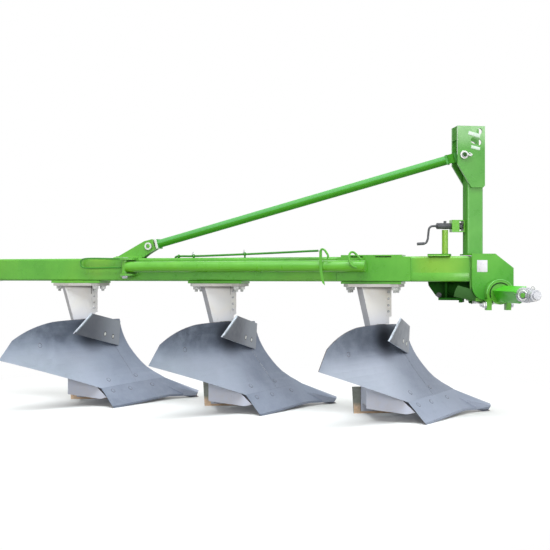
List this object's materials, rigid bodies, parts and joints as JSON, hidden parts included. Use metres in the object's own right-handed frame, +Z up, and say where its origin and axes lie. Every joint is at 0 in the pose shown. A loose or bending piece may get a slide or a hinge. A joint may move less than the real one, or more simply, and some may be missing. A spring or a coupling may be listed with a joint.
{
  "type": "three-furrow mounted plough",
  "caption": "Mounted right-hand plough: diagonal box beam, mouldboard bodies on legs, braced mast, yawing headstock with cross-shaft and a folding roller arm.",
  "frame": {"origin": "on the ground, under the centre of the bounding box of the plough as it stands on its shares and landsides", "axes": "+X is the direction of travel, +Y the machine's left, +Z up"},
  "size_m": [3.0478, 1.9502, 1.61],
  "materials": {
    "green_paint": "gloss enamel",
    "body_steel": "satin blue-grey",
    "leg_grey": "matt light grey",
    "zinc": "zinc plated",
    "dark_steel": "dark grey"
  },
  "bodies": {
    "frame_and_bodies": {"main_beam": "green_paint", "beam_rear_cap": "green_paint", "beam_end_flange": "green_paint", "beam_front_bracket": "green_paint", "beam_side_plate": "green_paint", "brace_lug": "green_paint", "brace_rear_pin": "zinc", "adjuster_post": "green_paint", "arm_pivot_bracket": "green_paint", "arm_stay_loop": "green_paint", "brace_tube": "green_paint", "beam_pad_front": "green_paint", "leg_flange_front": "zinc", "leg_front": "leg_grey", "frog_front": "leg_grey", "landside_front": "body_steel", "share_front": "body_steel", "shin_front": "body_steel", "mouldboard_front": "body_steel", "trash_board_front": "body_steel", "beam_pad_middle": "green_paint", "leg_flange_middle": "zinc", "leg_middle": "leg_grey", "frog_middle": "leg_grey", "landside_middle": "body_steel", "share_middle": "body_steel", "shin_middle": "body_steel", "mouldboard_middle": "body_steel", "trash_board_middle": "body_steel", "beam_pad_rear": "green_paint", "leg_flange_rear": "zinc", "leg_rear": "leg_grey", "frog_rear": "leg_grey", "landside_rear": "body_steel", "share_rear": "body_steel", "shin_rear": "body_steel", "mouldboard_rear": "body_steel", "trash_board_rear": "body_steel"},
    "headstock": {"headstock_plate_right": "green_paint", "headstock_plate_left": "green_paint", "headstock_top_plate": "green_paint", "headstock_bottom_plate": "green_paint", "headstock_pivot_pin": "zinc", "mast_tube": "green_paint", "mast_head_plate_right": "green_paint", "mast_head_plate_left": "green_paint", "mast_head_web": "green_paint", "mast_head_pin": "zinc", "mast_bracket": "green_paint", "crank_spindle": "dark_steel", "cross_shaft": "green_paint", "shaft_flange_right": "green_paint", "shaft_end_right": "green_paint", "link_pin_right": "zinc", "shaft_flange_left": "green_paint", "shaft_end_left": "green_paint", "link_pin_left": "zinc"},
    "roller_arm": {"packer_arm": "green_paint", "arm_catch_hook": "green_paint", "arm_ring_handle": "green_paint"}
  },
  "joints": [
    {"name": "headstock_yaw", "type": "hinge", "parent": "frame_and_bodies", "child": "headstock", "pos_m": [1.29185, -0.41507, 0.7], "axis": [0, 0, 1], "range_deg": [-4, 4]},
    {"name": "roller_arm_swing", "type": "hinge", "parent": "frame_and_bodies", "child": "roller_arm", "pos_m": [-0.63709, 0.36254, 0.842], "axis": [0, 0, -1], "range_deg": [0, 95]}
  ]
}
